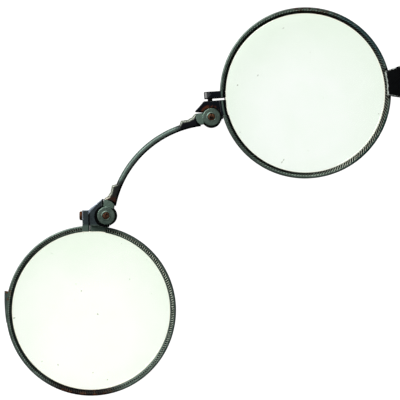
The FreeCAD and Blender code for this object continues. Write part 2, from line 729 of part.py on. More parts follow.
def make_release_slide():
    """A flat bar along the tang whose nose hangs down to the left rim's catch tooth."""
    slide = start_body("release_slide")
    play = 0.09
    high = dims.channel_half - play
    low = dims.tang_edge + play
    tip = dims.nose_tip
    pad(slide, rectangle(tip, dims.slide_end, low, high), dims.slide_base, dims.slide_top)
    pad(slide, rectangle(tip, tip + dims.nose_length, dims.nose_low, dims.nose_high),
        dims.nose_base, dims.slide_base + 0.1)
    place_by_handle(slide)


def make_release_button():
    """A thumb piece above the front shell, on a stem that stands on the slide."""
    button = start_body("release_button")
    middle = dims.button_place
    top = dims.handle_top
    long, wide, stem = dims.button_half, dims.button_side, dims.stem_half
    play = 0.04
    pad(button, rectangle(middle - long, middle + long, -wide, wide), top + play,
        top + dims.button_thick)
    pad(button, rectangle(middle - stem, middle + stem, dims.stem_low, dims.stem_high),
        dims.slide_top, top + 2 * play)
    pocket(button, (dims.rivet_radius, middle, (dims.stem_low + dims.stem_high) / 2),
           dims.slide_top, dims.slide_top + dims.rivet_length)
    place_by_handle(button)


def make_button_rivet():
    """The rivet through the slide that holds the button's stem."""
    rivet = start_body("button_rivet")
    pad(rivet, (dims.rivet_radius, dims.button_place, (dims.stem_low + dims.stem_high) / 2),
        dims.slide_top, dims.slide_top + dims.rivet_length)
    place_by_handle(rivet)


def make_release_spring():
    """A coil spring between the slide and its seat."""
    spring = doc.addObject("Part::Feature", "release_spring")
    spring.Label = "release_spring"
    wire, coil, turns = 0.11, 0.4, 8
    length = dims.channel_end.value - dims.seat_thick.value - dims.slide_end.value - 2 * wire
    path = Part.Wire(Part.makeHelix(length / turns, length, coil))
    profile = Part.Wire(Part.makeCircle(wire, Vector(coil, 0, 0), Vector(0, 1, 0)))
    spring.Shape = path.makePipeShell([profile], True, True)
    x, y = lens_middle(RIGHT)
    across = dims.spring_across
    out_x, out_y = polar(dims.slide_end + wire, dims.handle_turn, x, y)
    tilt = Rotation(Vector(0, 1, 0), 90)
    place(spring, out_x - across * sine(dims.handle_turn), out_y + across * cosine(dims.handle_turn),
          dims.slide_base + dims.spring_bore, dims.handle_turn, tilt)


def make_spring_seat():
    """The block at the end of the channel, with a bore that the release spring sinks into."""
    seat = start_body("spring_seat")
    face, bore, wall = dims.channel_end - dims.seat_thick, dims.spring_bore, 0.05
    pad(seat, rectangle(face, dims.channel_end, -dims.channel_half, dims.channel_half),
        dims.channel_floor, dims.channel_roof)
    drill(seat, "YZ_Plane", face, bore, dims.spring_across, dims.slide_base + bore,
          dims.seat_thick - wall, along_normal=True)
    place_by_handle(seat)


def make_bail_eye():
    """A necked eye screwed into the end of the handle, its hole across the handle."""
    eye = start_body("bail_eye")
    neck, far, near = dims.neck_radius, -dims.neck_length, -(dims.eye_radius - dims.neck_lap)
    turn(eye, [(0, far), (neck, far), (neck, near), (0, near)])
    disc = sketch_on(eye, "XZ_Plane")
    draw_circle(disc, dims.eye_radius)
    feature = eye.newObject("PartDesign::Pad", "bail_eye_disc")
    feature.Profile = disc
    feature.Midplane = True
    finish_feature(feature, dims.eye_thick)
    drill(eye, "XZ_Plane", 0, dims.eye_hole, 0, 0)
    place_by_handle(eye, dims.pivot_place, dims.pivot_height, Rotation(Vector(0, 1, 0), 90))


def make_bail_ring():
    """A round ring through the eye; its far side rests on the table."""
    ring = doc.addObject("Part::Torus", "bail_ring")
    ring.Label = "bail_ring"
    ring.setExpression("Radius1", dims.ring_radius.text + " * 1 mm")
    ring.setExpression("Radius2", dims.ring_wire.text + " * 1 mm")
    along = dims.pivot_place + dims.ring_radius * cosine(dims.ring_droop)
    height = dims.pivot_height - dims.ring_radius * sine(dims.ring_droop)
    place_by_handle(ring, along, height, Rotation(Vector(0, 1, 0), dims.ring_droop.value))


for side, name, plane in SIDES:
    make_rim(side, name + "_rim", plane)
    make_lens(side, name + "_lens", plane)
    make_closing_block(side, name, plane)
    make_closing_screw(side, name, plane)
    make_bracket(side, name, plane)
    make_hinge_cap(side, name)
    make_hinge_screw(side, name)
    make_drum(side, name)
    make_hinge_spring(side, name)
make_arm()
make_tooth()
make_front_shell()
make_back_shell()
make_tang()
make_handle_screws()
make_release_slide()
make_release_button()
make_button_rivet()
make_release_spring()
make_spring_seat()
make_bail_eye()
make_bail_ring()
doc.recompute()

# The origin is the middle of the footprint, on the surface that the object lies on.
box = FreeCAD.BoundBox()
for piece in PIECES:
    box.add(piece.Shape.optimalBoundingBox(False))
for alias, middle in (("origin_x", box.Center.x), ("origin_y", box.Center.y)):
    sheet.set(sheet.getCellFromAlias(alias), repr(round(middle, 4)))
doc.recompute()

for item in doc.Objects:
    if "Invalid" in item.State or "Error" in item.State:
        raise RuntimeError(item.Label + ": " + ", ".join(item.State))
for piece in PIECES:
    if piece.Shape.isNull() or not piece.Shape.isValid():
        raise RuntimeError(piece.Label + ": its shape is not valid")

os.makedirs("parts", exist_ok=True)
for piece in PIECES:
    piece.Shape.exportStep("parts/" + piece.Label + ".step")
    print("%-24s %9.3f mm3" % (piece.Label, piece.Shape.Volume))
print("origin %.4f %.4f" % (box.Center.x, box.Center.y))
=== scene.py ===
import json
import math

import bmesh
import bpy
import numpy as np
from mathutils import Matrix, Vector


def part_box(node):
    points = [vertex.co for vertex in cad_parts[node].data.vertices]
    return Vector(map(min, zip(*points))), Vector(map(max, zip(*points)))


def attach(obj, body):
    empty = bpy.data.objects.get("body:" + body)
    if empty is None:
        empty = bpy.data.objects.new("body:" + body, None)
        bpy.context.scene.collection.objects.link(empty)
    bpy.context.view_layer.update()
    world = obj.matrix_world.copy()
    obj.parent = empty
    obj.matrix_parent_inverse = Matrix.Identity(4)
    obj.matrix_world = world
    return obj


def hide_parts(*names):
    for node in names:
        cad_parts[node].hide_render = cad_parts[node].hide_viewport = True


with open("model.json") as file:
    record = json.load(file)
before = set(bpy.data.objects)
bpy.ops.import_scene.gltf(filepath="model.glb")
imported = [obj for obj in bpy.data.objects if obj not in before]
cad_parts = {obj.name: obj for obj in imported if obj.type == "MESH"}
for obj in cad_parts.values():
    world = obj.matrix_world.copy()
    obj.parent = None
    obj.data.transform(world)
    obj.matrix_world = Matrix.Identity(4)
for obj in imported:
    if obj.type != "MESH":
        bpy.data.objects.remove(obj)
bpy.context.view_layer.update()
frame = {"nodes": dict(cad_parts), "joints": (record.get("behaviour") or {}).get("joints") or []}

MM = 0.001
TURN = 2 * math.pi
SHARP = math.radians(28)

# The rims' section and the lip of the handle, as in the part's sheet, in millimetres.
RIM_OUTER = 18.75
RIM_INNER = 17.45
RIM_HALF = 0.95
GROOVE = 0.4
SPLIT_TURN = math.radians(10.4)
LIP_RADIUS = 17.88

# ---- places, from the frame ----

JOINTS = {joint["name"]: joint for joint in frame["joints"]}
RIGHT_HINGE = np.array(JOINTS["bridge_fold"]["pos_m"])
LEFT_HINGE = np.array(JOINTS["left_lens_fold"]["pos_m"])
HANDLE_WAY = np.array(JOINTS["release_travel"]["axis"])
RING_PIVOT = np.array(JOINTS["neck_ring_swing"]["pos_m"])
RIG = "handle_and_right_lens"
BRIDGE = "bridge"
LEFT_GROUP = "left_lens_group"
RELEASE = "release"


def middle(node):
    """The middle of a node's bounding box, in metres."""
    low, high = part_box(node)
    return (np.array(low) + np.array(high)) / 2


def turned(points, angle, centre=(0, 0, 0)):
    """Points turned about Z by an angle and moved to a centre; lengths are in metres."""
    points = np.asarray(points, float)
    cosine, sine = math.cos(angle), math.sin(angle)
    x = points[..., 0] * cosine - points[..., 1] * sine
    y = points[..., 0] * sine + points[..., 1] * cosine
    return np.stack((x, y, points[..., 2]), axis=-1) + np.array(centre)


def corners_of(node, angle, centre):
    """A node's vertices in millimetres, seen in a frame turned by an angle about a centre."""
    mesh = frame["nodes"][node].data
    points = np.empty(len(mesh.vertices) * 3)
    mesh.vertices.foreach_get("co", points)
    return turned(points.reshape(-1, 3) - centre, -angle) / MM


class Side:
    """One lens group: its middle, the direction of its split and the way that its mirror runs.
    The rim ends where the closing block and the foot of the bracket end, either side of it."""

    def __init__(self, name, sign, hinge, body):
        self.name = name
        self.sign = sign
        self.hinge = hinge
        self.body = body
        self.centre = middle(name + "_lens")
        out = hinge - self.centre
        self.split = math.atan2(out[1], out[0]) + sign * SPLIT_TURN
        block = corners_of(name + "_closing_block", self.split, self.centre)
        foot = corners_of(name + "_hinge_bracket", self.split, self.centre)
        foot = foot[foot[:, 0] < RIM_INNER + GROOVE]
        self.block_end = np.abs(block[:, 1]).max()
        self.foot_end = np.abs(foot[:, 1]).max()


LEFT = Side("left", 1, LEFT_HINGE, LEFT_GROUP)
RIGHT = Side("right", -1, RIGHT_HINGE, RIG)
SIDES = (LEFT, RIGHT)


# ---- meshes ----

def new_piece(name, points, faces, material, body, node):
    """A smooth mesh object at the origin, in metres, riding on a body in place of a CAD node."""
    mesh = bpy.data.meshes.new(name)
    mesh.from_pydata(np.asarray(points).reshape(-1, 3).tolist(), [], faces.tolist())
    mesh.polygons.foreach_set("use_smooth", np.full(len(mesh.polygons), True))
    mesh.update()
    piece = bpy.data.objects.new(name, mesh)
    bpy.context.scene.collection.objects.link(piece)
    piece.data.materials.append(material)
    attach(piece, body)
    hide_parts(node)
    return piece


def mark(piece, **values):
    """Stores values of the points, one named layer for each, for materials to read."""
    for name, value in values.items():
        layer = piece.data.attributes.new(name, "FLOAT", "POINT")
        layer.data.foreach_set("value", value.astype(np.float32).ravel())


def grid_faces(rows, columns, close_rows=False, close_columns=False):
    """Quads between neighbours of a grid, wrapping round where a direction is closed."""
    last_row = rows if close_rows else rows - 1
    last_column = columns if close_columns else columns - 1
    row, column = np.meshgrid(np.arange(last_row), np.arange(last_column), indexing="ij")
    next_row = (row + 1) % rows
    next_column = (column + 1) % columns
    corners = (row * columns + column, next_row * columns + column,
               next_row * columns + next_column, row * columns + next_column)
    return np.stack(corners, axis=-1).reshape(-1, 4)


def closed(piece):
    """Merges doubles, fills the open loops at the ends of a swept piece and turns its faces
    outwards."""
    work = bmesh.new()
    work.from_mesh(piece.data)
    bmesh.ops.remove_doubles(work, verts=work.verts, dist=1e-8)
    bmesh.ops.holes_fill(work, edges=[edge for edge in work.edges if edge.is_boundary], sides=0)
    bmesh.ops.recalc_face_normals(work, faces=work.faces)
    if work.calc_volume(signed=True) < 0:
        bmesh.ops.reverse_faces(work, faces=work.faces)
    work.to_mesh(piece.data)
    work.free()
    return piece


def lathed(radius, height, spokes):
    """Points of a profile of radii and heights turned about Z, one row for each spoke."""
    around = np.linspace(0, TURN, spokes, endpoint=False)[:, None]
    return np.stack((radius * np.cos(around), radius * np.sin(around),
                     np.broadcast_to(height, (spokes, len(radius)))), axis=-1)


def spread(corners, counts):
    """A polyline with each stretch divided into its own count of steps."""
    corners = np.array(corners, float)
    runs = [np.linspace(corners[i], corners[i + 1], count, endpoint=False)
            for i, count in enumerate(counts)]
    return np.concatenate(runs)


def cut_across(work, way, places):
    """Divides a bmesh by planes square to a direction, at places along it in metres."""
    for place in places:
        bmesh.ops.bisect_plane(work, geom=work.verts[:] + work.edges[:] + work.faces[:], dist=1e-7,
                               plane_co=way * place, plane_no=way)


def softened(node, width, materials, body, segments=2, cuts=(), shape=None):
    """A copy of a CAD node with its doubles merged, flats joined and edges rounded by a bevel.
    The last material is the wear and painted highlight along those edges. Where a function shifts
    the points, the bevel is made first and cuts then divide the faces."""
    source = frame["nodes"][node]
    mesh = source.data.copy()
    mesh.name = node + "_softened"
    mesh.materials.clear()
    for material in materials:
        mesh.materials.append(material)
    mesh.polygons.foreach_set("material_index", np.zeros(len(mesh.polygons), int))
    work = bmesh.new()
    work.from_mesh(mesh)
    bmesh.ops.remove_doubles(work, verts=work.verts, dist=1e-6)
    bmesh.ops.dissolve_limit(work, angle_limit=math.radians(0.6), verts=work.verts,
                             edges=work.edges)
    if shape:
        sharp = [edge for edge in work.edges if edge.is_manifold
                 and edge.calc_face_angle() > SHARP]
        bmesh.ops.bevel(work, geom=sharp, offset=width * MM, segments=segments, profile=0.5,
                        affect="EDGES", clamp_overlap=False, material=len(materials) - 1)
    for way, places in cuts:
        cut_across(work, way, places)
    work.to_mesh(mesh)
    work.free()
    if shape:
        points = np.empty(len(mesh.vertices) * 3)
        mesh.vertices.foreach_get("co", points)
        mesh.vertices.foreach_set("co", shape(points.reshape(-1, 3)).ravel())
    mesh.polygons.foreach_set("use_smooth", np.full(len(mesh.polygons), True))
    piece = bpy.data.objects.new(node + "_softened", mesh)
    bpy.context.scene.collection.objects.link(piece)
    if not shape:
        bevel = piece.modifiers.new("edge", "BEVEL")
        bevel.width = width * MM
        bevel.segments = segments
        bevel.limit_method = "ANGLE"
        bevel.angle_limit = SHARP
        bevel.use_clamp_overlap = False
        bevel.material = len(materials) - 1
    weighted = piece.modifiers.new("normals", "WEIGHTED_NORMAL")
    weighted.keep_sharp = False
    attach(piece, body)
    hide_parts(node)
    return piece


# ---- materials ----

def linear(red, green, blue):
    """A display colour of 0 to 255 as linear light."""
    def one(value):
        value = value / 255
        return value / 12.92 if value <= 0.04045 else ((value + 0.055) / 1.055) ** 2.4
    return (one(red), one(green), one(blue), 1.0)


# The mix node's sockets for colours, which share their names with those for numbers.
MIX_COLOURS = (6, 7)
MIX_RESULT = 2


class Surface:
    """A Principled material with short helpers for its procedural nodes on Object coordinates."""

    def __init__(self, name):
        self.material = bpy.data.materials.new(name)
        self.material.use_nodes = True
        self.tree = self.material.node_tree
        self.shader = self.tree.nodes["Principled BSDF"]
        self.coordinates = self.node("ShaderNodeTexCoord").outputs["Object"]

    def node(self, kind, **values):
        """A new node with some of its properties set."""
        made = self.tree.nodes.new(kind)
        for name, value in values.items():
            setattr(made, name, value)
        return made

    def link(self, source, target):
        self.tree.links.new(source, target)

    def set(self, **values):
        """Fixed values for the shader's inputs, named with underscores for spaces."""
        for name, value in values.items():
            self.shader.inputs[name.replace("_", " ")].default_value = value

    def stretched(self, scale, angle):
        """Object coordinates scaled and turned about Z."""
        mapping = self.node("ShaderNodeMapping")
        mapping.inputs["Scale"].default_value = scale
        mapping.inputs["Rotation"].default_value = (0, 0, angle)
        self.link(self.coordinates, mapping.inputs["Vector"])
        return mapping.outputs["Vector"]

    def noise(self, scale, detail, rough=0.6, vector=None):
        """Fractal noise from 0 to 1, at a scale counted per metre."""
        made = self.node("ShaderNodeTexNoise")
        made.inputs["Scale"].default_value = scale
        made.inputs["Detail"].default_value = detail
        made.inputs["Roughness"].default_value = rough
        self.link(vector or self.coordinates, made.inputs["Vector"])
        return made.outputs["Fac"]

    def span(self, value, low, high, to_low=0.0, to_high=1.0):
        """A value taken from one range to another and held at its ends."""
        made = self.node("ShaderNodeMapRange")
        made.inputs["From Min"].default_value = low
        made.inputs["From Max"].default_value = high
        made.inputs["To Min"].default_value = to_low
        made.inputs["To Max"].default_value = to_high
        self.link(value, made.inputs["Value"])
        return made.outputs["Result"]

    def combine(self, operation, *values):
        """Arithmetic on numbers and sockets."""
        made = self.node("ShaderNodeMath", operation=operation)
        for number, value in enumerate(values):
            if isinstance(value, (int, float)):
                made.inputs[number].default_value = value
            else:
                self.link(value, made.inputs[number])
        return made.outputs[0]

    def away(self, point):
        """Distance from a point in millimetres, measured flat along the table."""
        flat = self.node("ShaderNodeVectorMath", operation="MULTIPLY_ADD")
        flat.inputs[1].default_value = (1 / MM, 1 / MM, 0)
        flat.inputs[2].default_value = (-point[0] / MM, -point[1] / MM, 0)
        self.link(self.coordinates, flat.inputs[0])
        length = self.node("ShaderNodeVectorMath", operation="LENGTH")
        self.link(flat.outputs["Vector"], length.inputs[0])
        return length.outputs["Value"]

    def attribute(self, name):
        """A layer that mark() stored."""
        return self.node("ShaderNodeAttribute", attribute_name=name).outputs["Fac"]

    def beside(self, point, angle):
        """Distance in millimetres from an upright plane through a point, running at an angle."""
        normal = np.array((-math.sin(angle), math.cos(angle), 0))
        dot = self.node("ShaderNodeVectorMath", operation="DOT_PRODUCT")
        dot.inputs[1].default_value = tuple(normal / MM)
        self.link(self.coordinates, dot.inputs[0])
        offset = self.combine("SUBTRACT", dot.outputs["Value"], float(point @ normal) / MM)
        return self.combine("ABSOLUTE", offset)

    def zoned(self, colour, zones):
        """Lays other colours over one. A zone is (place, near, far, colour, share): full near
        to a point, or to an upright plane where the place is a point and an angle, and gone
        at the far distance, broken up by noise that leaves more of it as the share grows."""
        for place, near, far, tint, share in zones:
            length = self.beside(*place) if isinstance(place, tuple) else self.away(place)
            amount = self.span(length, near, far, 1, 0)
            broken = self.span(self.noise(700, 5), 0.62 - 0.3 * share, 0.7 - 0.3 * share)
            colour = self.mixed(self.combine("MULTIPLY", amount, broken), colour, linear(*tint))
        return colour

    def mixed(self, amount, first, second):
        """A colour between two others, each a socket or a tuple."""
        made = self.node("ShaderNodeMix", data_type="RGBA")
        self.link(amount, made.inputs["Factor"])
        for number, value in zip(MIX_COLOURS, (first, second)):
            if isinstance(value, tuple):
                made.inputs[number].default_value = value
            else:
                self.link(value, made.inputs[number])
        return made.outputs[MIX_RESULT]

    def bump(self, height, strength, distance):
        """Gives the shader a normal from a height, over a distance in millimetres."""
        made = self.node("ShaderNodeBump")
        made.inputs["Strength"].default_value = strength
        made.inputs["Distance"].default_value = distance * MM
        self.link(height, made.inputs["Height"])
        self.link(made.outputs["Normal"], self.shader.inputs["Normal"])


UPWARD = math.radians(47)
# Colours for marked pieces: wear with painted highlights, and grime with painted shade.
WORN_HIGHLIT_STEEL = (226, 234, 214)
GRIME_AND_SHADE_COLOUR = (6, 9, 8)


def old_steel(name, light, dark, rust_share=0.1, rust=(66, 38, 28), roughness=0.42, zones=(),
              marked=False):
    """Oxidised steel: a worn light colour over a dark one, zones of other colours, some of them
    painted shade and painted highlights, rust in patches, scratches and pits. A marked piece gets
    wear with painted highlights and grime with painted shade where its mesh says so."""
    surface = Surface(name)
    patches = surface.span(surface.noise(420, 5), 0.34, 0.66)
    fine = surface.span(surface.noise(2600, 5), 0.3, 0.7)
    worn = surface.combine("MULTIPLY_ADD", patches, 0.55, surface.combine("MULTIPLY", fine, 0.45))
    colour = surface.mixed(worn, linear(*dark), linear(*light))
    rust_edge = 0.72 - 0.32 * rust_share
    rusted = surface.span(surface.noise(330, 7, 0.68), rust_edge, rust_edge + 0.09)
    colour = surface.zoned(surface.mixed(rusted, colour, linear(*rust)), zones)
    if marked:
        # Wear with painted highlights, then grime with painted shade, where the mesh marks them.
        colour = surface.mixed(surface.attribute("rubbed"), colour, linear(*WORN_HIGHLIT_STEEL))
        colour = surface.mixed(surface.attribute("grimy"), colour, linear(*GRIME_AND_SHADE_COLOUR))
    surface.link(colour, surface.shader.inputs["Base Color"])
    surface.link(surface.span(rusted, 0, 1, 0.82, 0.2), surface.shader.inputs["Metallic"])
    scratches = surface.noise(1.0, 3, 0.6, surface.stretched((500, 5200, 500), 0.6))
    polish = surface.span(scratches, 0.25, 0.75, roughness - 0.08, roughness + 0.1)
    surface.link(surface.combine("MULTIPLY_ADD", rusted, 0.3, polish),
                 surface.shader.inputs["Roughness"])
    pits = surface.combine("MULTIPLY_ADD", surface.noise(3400, 6, 0.7), 0.6, scratches)
    surface.bump(pits, 0.35, 0.02)
    return surface.material


def tinted_glass(name, inner, outer, centre, radius):
    """Clear glass, a little greener towards the upper part of its edge, with a warm line at the
    very edge, faint haze and a few specks of dust."""
    surface = Surface(name)
    length = surface.away(centre)
    clearest = centre - 0.3 * radius * MM * np.array((math.cos(UPWARD), math.sin(UPWARD), 0))
    edge = surface.span(surface.away(clearest), 0.5 * radius, 1.3 * radius)
    cloud = surface.span(surface.noise(70, 3), 0.4, 0.7, 0, 0.3)
    tint = surface.mixed(surface.combine("ADD", edge, cloud), linear(*inner), linear(*outer))
    specks = surface.span(surface.noise(900, 1, 0.5), 0.79, 0.82)
    tint = surface.mixed(specks, tint, linear(170, 178, 160))
    warm = surface.span(length, radius - 0.22, radius - 0.1, 0, 0.7)
    surface.link(surface.mixed(warm, tint, linear(255, 252, 232)),
                 surface.shader.inputs["Base Color"])
    surface.link(surface.span(surface.noise(160, 4), 0.5, 0.8, 0.0, 0.02),
                 surface.shader.inputs["Roughness"])
    surface.set(IOR=1.52, Transmission_Weight=1.0)
    surface.bump(surface.noise(120, 2), 0.02, 0.01)
    return surface.material


def black_lacquer(name, share):
    """Polished black lacquer with hairline scratches, light grey in a share of places for wear with
    painted highlights on its edges, and a painted highlight along the hollow lip that laps over the
    rim."""
    surface = Surface(name)
    cloud = surface.span(surface.noise(300, 5), 0.3, 0.75)
    colour = surface.mixed(cloud, linear(2, 2, 3), linear(16, 19, 20))
    # A painted highlight along the lip; wear with painted highlights, broken up by noise,
    # elsewhere.
    lip_highlight = surface.span(surface.away(RIGHT.centre), LIP_END, LIP_END + 0.06, 1, 0)
    broken = surface.span(surface.noise(1700, 4), 0.2, 0.36)
    bare_and_highlight = surface.combine("MULTIPLY", lip_highlight, broken)
    rubbed = surface.span(surface.noise(1100, 6, 0.7), 0.74 - 0.4 * share, 0.84 - 0.4 * share)
    bare_and_highlight = surface.combine("MAXIMUM", bare_and_highlight, rubbed)
    surface.link(surface.mixed(bare_and_highlight, colour, linear(220, 230, 222)),
                 surface.shader.inputs["Base Color"])
    scratches = surface.noise(1.0, 3, 0.6, surface.stretched((300, 6000, 300), 0.2))
    surface.link(surface.span(scratches, 0.3, 0.8, 0.22, 0.42), surface.shader.inputs["Roughness"])
    surface.set(Specular_IOR_Level=0.2)
    surface.bump(scratches, 0.12, 0.01)
    return surface.material


def rubbed_edge(name, bare_and_highlight, under, share, zones=()):
    """Along a bevelled edge: a light colour, for wear with painted highlights, broken by noise over
    the finish under it.
    """
    surface = Surface(name)
    kept = surface.span(surface.noise(1100, 6, 0.7), 0.68 - 0.4 * share, 0.78 - 0.4 * share)
    colour = surface.mixed(kept, linear(*under), linear(*bare_and_highlight))
    surface.link(surface.zoned(colour, zones), surface.shader.inputs["Base Color"])
    surface.set(Metallic=0.6)
    surface.link(surface.span(kept, 0, 1, 0.35, 0.62), surface.shader.inputs["Roughness"])
    surface.bump(surface.noise(3400, 6, 0.7), 0.3, 0.02)
    return surface.material


def on_rim(side, degrees):
    """A point of a rim in a direction from its lens, counted from the table's +X."""
    angle = math.radians(degrees)
    return side.centre + RIM_OUTER * MM * np.array((math.cos(angle), math.sin(angle), 0))


def beyond(side, reach):
    """A plane square to a side's split, at a distance from the lens, as a point and an angle."""
    way = np.array((math.cos(side.split), math.sin(side.split), 0))
    return side.centre + way * reach * MM, side.split + math.pi / 2


# The tables of zones are in the form that Surface.zoned takes, laid one over another in their
# order; shifts and distances are in millimetres and directions about a lens in degrees.
LIP_END = LIP_RADIUS + 0.06
BLOCK_REACH = 22.2
RUST_BROWN = (118, 66, 44)
BLACK = (4, 5, 7)
TEAL = (120, 144, 132)
HIGHLIGHT_PALE = (176, 180, 178)
HINGES = (LEFT_HINGE, RIGHT_HINGE)
CRESCENT = np.array((0.1, 0.45, 0)) * MM
WING_BACK = np.array((0, 3.85, 0)) * MM
CUP_SHADE_SHIFT = np.array((-0.26, 0.08, 0)) * MM
RIM_ZONES = ((on_rim(LEFT, -139), 5, 10, (40, 32, 32), 1.2),
             (on_rim(LEFT, -141), 5, 9, (112, 70, 46), 0.32),
             (on_rim(LEFT, 126), 0.8, 1.4, (138, 84, 42), 0.55),
             (on_rim(RIGHT, 0), 6, 11, (72, 104, 106), 0.9),
             (on_rim(RIGHT, -78), 5, 9, (52, 84, 76), 0.9),
             (on_rim(RIGHT, 45), 3, 8, (92, 72, 60), 0.5),
             (RIGHT.centre, 17.78, 17.95, (104, 84, 56), 0.4),
             # Painted shadow: the last zone blackens the right rim where the handle's shell laps
             # over it, with some grime.
             (on_rim(RIGHT, math.degrees(math.atan2(HANDLE_WAY[1], HANDLE_WAY[0]))), 3.2, 3.9,
              BLACK, 1.6))
ARM_ZONES = ([(hinge, 7.2, 8.6, (36, 38, 44), 1.6) for hinge in HINGES]
             + [(LEFT_HINGE, 7.2, 8.4, (62, 64, 62), 0.7)]
             + [(LEFT_HINGE, 3.9, 4.8, (96, 54, 40), 0.5)]
             + [(hinge, 3.5, 3.62, BLACK, 1.6) for hinge in HINGES])
LEFT_ZONES = ((LEFT.centre, 18.7, 19.2, TEAL, 1.4),
              # Painted shade: black in the recess round the hinge cap, on a circle shifted to one
              # side so that it shows along that side only.
              (LEFT_HINGE + CUP_SHADE_SHIFT, 2.34, 2.42, BLACK, 1.7),
              ((LEFT.centre, LEFT.split), 0.22, 0.27, BLACK, 1.7))
RIGHT_ZONES = ((RIGHT.centre, 18.5, 18.56, TEAL, 1.3), (RIGHT.centre, 18.14, 18.2, BLACK, 1.6),
               # A painted highlight: a grey line along the right bracket's wing, on its edge
               # towards +Y.
               ((RIGHT_HINGE + WING_BACK, math.radians(4)), 0.3, 0.42, (96, 100, 104), 0.6),
               (RIGHT_HINGE + CRESCENT, 2.16, 2.4, RUST_BROWN, 0.45))
# A painted highlight: a pale blue stripe along the edge of the left bracket's wing towards +Y.
LEFT_WING_HIGHLIGHT = (((LEFT_HINGE + WING_BACK, math.radians(3)), 0.62, 0.75, (178, 192, 206), 1.2),)
# Painted highlights: a pale band on the end of each closing block.
LEFT_END_HIGHLIGHT = ((beyond(LEFT, BLOCK_REACH), 0.18, 0.28, HIGHLIGHT_PALE, 0.55),)
RIGHT_END_HIGHLIGHT = ((beyond(RIGHT, BLOCK_REACH), 0.5, 0.7, (232, 234, 232), 0.8),)
SCREW_RING = [(hinge, 0.45, 0.75, (28, 20, 18), 0.5) for hinge in HINGES]
RIM_STEEL = old_steel("rim_steel", (142, 162, 148), (86, 106, 97), 0.08, zones=RIM_ZONES,
                      marked=True)
SLATE = ((92, 106, 110), (56, 65, 70), 0.16, (66, 52, 50), 0.42)
JET = ((36, 41, 52), (14, 17, 24), 0.1, (62, 44, 42), 0.42)
LEFT_BRACKET = old_steel("left_bracket_steel", *SLATE, LEFT_ZONES + LEFT_WING_HIGHLIGHT)
LEFT_BLOCK = old_steel("left_block_steel", *SLATE, LEFT_ZONES + LEFT_END_HIGHLIGHT)
RIGHT_BRACKET = old_steel("right_bracket_steel", *JET, RIGHT_ZONES)
RIGHT_BLOCK = old_steel("right_block_steel", *JET, RIGHT_ZONES + RIGHT_END_HIGHLIGHT)
DISC_STEEL = old_steel("disc_steel", (142, 164, 150), (86, 108, 97), 0.03)
COLLAR_STEEL = old_steel("collar_steel", (156, 184, 168), (114, 138, 124), 0.06)
ARM_STEEL = old_steel("arm_steel", (132, 152, 142), (96, 114, 106), 0.06, (60, 50, 46),
                      zones=ARM_ZONES, marked=True)
RUST_STEEL = old_steel("rusted_steel", (138, 98, 72), (76, 48, 34), 0.5, (110, 60, 34), 0.6,
                       zones=SCREW_RING)
DARK_SCREW = old_steel("dark_screw_steel", (58, 50, 48), (22, 20, 24), 0.3)
TOOTH_STEEL = old_steel("tooth_steel", (126, 144, 138), (74, 92, 88), 0.1,
                        zones=((on_rim(LEFT, 124), 0.3, 0.8, (150, 92, 44), 0.7),))
BARE_STEEL = old_steel("bare_steel", (150, 154, 148), (100, 104, 100), 0.05)
SPRING_STEEL = old_steel("spring_steel", (92, 104, 128), (50, 58, 78), 0.02, roughness=0.3)
LACQUER = black_lacquer("black_lacquer", 0.0)
LACQUER_EDGE = black_lacquer("rubbed_lacquer", 0.72)
LEFT_EDGE = rubbed_edge("left_edge", (148, 158, 156), (50, 58, 60), 0.6, LEFT_ZONES + LEFT_WING_HIGHLIGHT)
RIGHT_EDGE = rubbed_edge("right_edge", (120, 124, 116), (18, 20, 26), 0.35, RIGHT_ZONES)


# ---- rims ----

STEPS_PER_TOOTH = 8
SLOPE_END = 17.98
SLOPE_TOP = 0.92
NOTCH_DEPTH = 0.26
FADED_TOOTH = 0.08
FADED_NOTCH = 0.3


def rim_profile():
    """The rim's section from the lens groove, up the inner slope, over the flat crest and the
    outer shoulder, down and back: radius and height."""
    top = spread([(RIM_INNER, GROOVE), (RIM_INNER, 0.5), (SLOPE_END, SLOPE_TOP), (18.06, RIM_HALF),
                  (18.56, RIM_HALF), (18.68, 0.88), (RIM_OUTER, 0.72), (RIM_OUTER, 0)],
                 (2, 8, 1, 8, 2, 2, 1))
    below = top[1:] * np.array([1, -1])
    end = np.array([[RIM_OUTER, 0]])
    apex = np.array([[RIM_INNER + GROOVE, 0]])
    return np.concatenate([top, end, below[::-1], [[RIM_INNER, -GROOVE]], apex])


